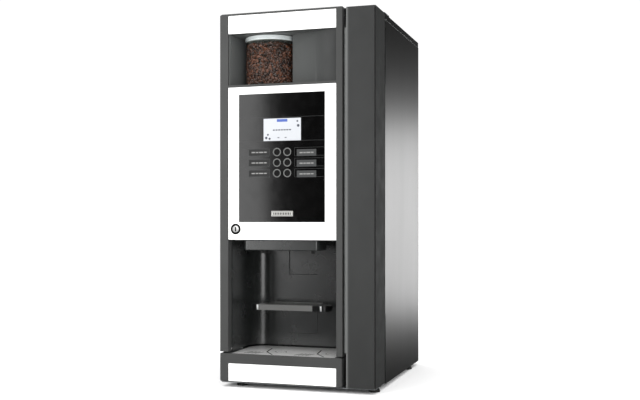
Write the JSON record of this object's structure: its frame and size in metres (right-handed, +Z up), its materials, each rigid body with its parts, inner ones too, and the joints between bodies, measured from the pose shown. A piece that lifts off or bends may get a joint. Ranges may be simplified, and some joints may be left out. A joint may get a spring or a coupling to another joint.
{
  "type": "hot coffee vending machine",
  "caption": "Tall table-top hot coffee vending machine with a bean window, a black touch-button panel, a folding cup shelf, a drip drawer and a side-hinged door.",
  "frame": {"origin": "on the floor under the middle of the machine", "axes": "+Z up, the door and its controls face -Y, +X to the right as seen from the front"},
  "size_m": [0.366, 0.462, 0.85],
  "materials": {
    "galvanised": "zinc coated sheet steel",
    "dark_cabinet_paint": "satin powder coat",
    "dark_shell_paint": "satin powder coat",
    "brass": "machined",
    "black_plastic": "fine moulded grain",
    "dark_frame_plastic": "satin moulded",
    "dark_liner_plastic": "satin moulded",
    "opal_panel": "opal white",
    "white_panel": "smooth white",
    "black_glass": "back-printed black",
    "display_screen": "glossy screen",
    "label_film": "printed film",
    "chrome_trim": "bright satin",
    "lock_steel": "turned steel",
    "shelf_plastic": "satin moulded",
    "stainless": "brushed stainless",
    "clear_plastic": "clear moulded",
    "grey_lid_plastic": "satin moulded",
    "roasted_beans": "oily roasted beans",
    "cast_aluminium": "cast",
    "natural_plastic": "natural moulded",
    "circuit_board": "solder mask",
    "rubber": "matt",
    "button_plastic": "satin moulded"
  },
  "bodies": {
    "cabinet": {"base_pan": "galvanised", "left_side_panel": "dark_cabinet_paint", "right_side_panel": "dark_cabinet_paint", "back_panel": "galvanised", "water_inlet": "brass", "mains_inlet": "black_plastic", "top_cover": "dark_cabinet_paint", "chassis_frame": "galvanised", "inner_chassis": "galvanised", "hinge_brackets": "galvanised", "bean_canister": "clear_plastic", "bean_lid": "grey_lid_plastic", "coffee_beans": "roasted_beans", "grinder_housing": "cast_aluminium", "ingredient_canisters": "clear_plastic", "canister_lids": "grey_lid_plastic", "mixing_bowls": "natural_plastic", "mixer_motors": "cast_aluminium", "brewer_frame": "black_plastic", "boiler": "stainless", "water_pump": "black_plastic", "waste_bin": "black_plastic", "control_board": "circuit_board", "foot_front_left": "rubber", "foot_front_right": "rubber", "foot_rear_left": "rubber", "foot_rear_right": "rubber"},
    "door": {"front_frame": "dark_frame_plastic", "door_shell": "dark_shell_paint", "column_cover": "dark_frame_plastic", "sign_panel": "opal_panel", "window_liner": "dark_liner_plastic", "ui_surround": "white_panel", "ui_glass": "black_glass", "display_module": "display_screen", "label_plates": "label_film", "button_rings": "chrome_trim", "lock_body": "chrome_trim", "niche_liner": "dark_liner_plastic", "outlet_head": "dark_liner_plastic", "outlet_nozzles": "black_plastic", "shelf_bracket": "dark_liner_plastic"},
    "lock": {"lock_plug": "lock_steel"},
    "shelf": {"cup_shelf": "shelf_plastic"},
    "drawer": {"drip_drawer": "dark_frame_plastic", "drawer_panel": "white_panel"},
    "grille": {"drip_grille": "stainless"},
    "burr": {"grinder_burr": "lock_steel"},
    "milk_auger_body": {"milk_auger": "natural_plastic"},
    "cocoa_auger_body": {"cocoa_auger": "natural_plastic"},
    "milk_whipper_body": {"milk_whipper": "natural_plastic"},
    "cocoa_whipper_body": {"cocoa_whipper": "natural_plastic"},
    "screw": {"brewer_screw": "lock_steel"},
    "piston": {"brew_piston": "natural_plastic"},
    "push_button_1": {"button_1": "button_plastic"},
    "push_button_2": {"button_2": "button_plastic"},
    "push_button_3": {"button_3": "button_plastic"},
    "push_button_4": {"button_4": "button_plastic"},
    "push_button_5": {"button_5": "button_plastic"},
    "push_button_6": {"button_6": "button_plastic"}
  },
  "joints": [
    {"name": "door_hinge", "type": "hinge", "parent": "cabinet", "child": "door", "pos_m": [0.1795, -0.145, 0.425], "axis": [0, 0, 1], "range_deg": [0, 98]},
    {"name": "lock_turn", "type": "hinge", "parent": "door", "child": "lock", "pos_m": [-0.1445, -0.211, 0.3603], "axis": [0, -1, 0], "range_deg": [0, 90]},
    {"name": "shelf_fold", "type": "hinge", "parent": "door", "child": "shelf", "pos_m": [-0.0343, -0.088, 0.18], "axis": [-1, 0, 0], "range_deg": [0, 88]},
    {"name": "drawer_slide", "type": "slide", "parent": "cabinet", "child": "drawer", "axis": [0, -1, 0], "range_m": [0, 0.15]},
    {"name": "grille_lift", "type": "slide", "parent": "drawer", "child": "grille", "axis": [0, 0, 1], "range_m": [0, 0.04]},
    {"name": "button_1_press", "type": "slide", "parent": "door", "child": "push_button_1", "axis": [0, 1, 0], "range_m": [0, 0.0012], "stiffness_N_per_m": 400, "springref_m": -0.001},
    {"name": "button_2_press", "type": "slide", "parent": "door", "child": "push_button_2", "axis": [0, 1, 0], "range_m": [0, 0.0012], "stiffness_N_per_m": 400, "springref_m": -0.001},
    {"name": "button_3_press", "type": "slide", "parent": "door", "child": "push_button_3", "axis": [0, 1, 0], "range_m": [0, 0.0012], "stiffness_N_per_m": 400, "springref_m": -0.001},
    {"name": "button_4_press", "type": "slide", "parent": "door", "child": "push_button_4", "axis": [0, 1, 0], "range_m": [0, 0.0012], "stiffness_N_per_m": 400, "springref_m": -0.001},
    {"name": "button_5_press", "type": "slide", "parent": "door", "child": "push_button_5", "axis": [0, 1, 0], "range_m": [0, 0.0012], "stiffness_N_per_m": 400, "springref_m": -0.001},
    {"name": "button_6_press", "type": "slide", "parent": "door", "child": "push_button_6", "axis": [0, 1, 0], "range_m": [0, 0.0012], "stiffness_N_per_m": 400, "springref_m": -0.001},
    {"name": "burr_spin", "type": "hinge", "parent": "cabinet", "child": "burr", "pos_m": [-0.0886, -0.066, 0.648], "axis": [0, 0, 1], "continuous": true},
    {"name": "milk_auger_spin", "type": "hinge", "parent": "cabinet", "child": "milk_auger_body", "pos_m": [0.01112, -0.031, 0.6175], "axis": [0, 1, 0], "continuous": true},
    {"name": "milk_whipper_spin", "type": "hinge", "parent": "cabinet", "child": "milk_whipper_body", "pos_m": [0.01112, -0.109, 0.5275], "axis": [0, 1, 0], "continuous": true},
    {"name": "cocoa_auger_spin", "type": "hinge", "parent": "cabinet", "child": "cocoa_auger_body", "pos_m": [0.07437, -0.031, 0.6175], "axis": [0, 1, 0], "continuous": true},
    {"name": "cocoa_whipper_spin", "type": "hinge", "parent": "cabinet", "child": "cocoa_whipper_body", "pos_m": [0.07437, -0.109, 0.5275], "axis": [0, 1, 0], "continuous": true},
    {"name": "screw_turn", "type": "hinge", "parent": "cabinet", "child": "screw", "pos_m": [-0.0566, 0.016, 0.4102], "axis": [0, 0, 1], "range_deg": [0, 720]},
    {"name": "piston_press", "type": "slide", "parent": "cabinet", "child": "piston", "axis": [0, 0, -1], "range_m": [0, 0.04]}
  ],
  "couplings": [
    {"joint": "screw_turn", "follows": "piston_press", "rad_per_m": 314.16}
  ]
}
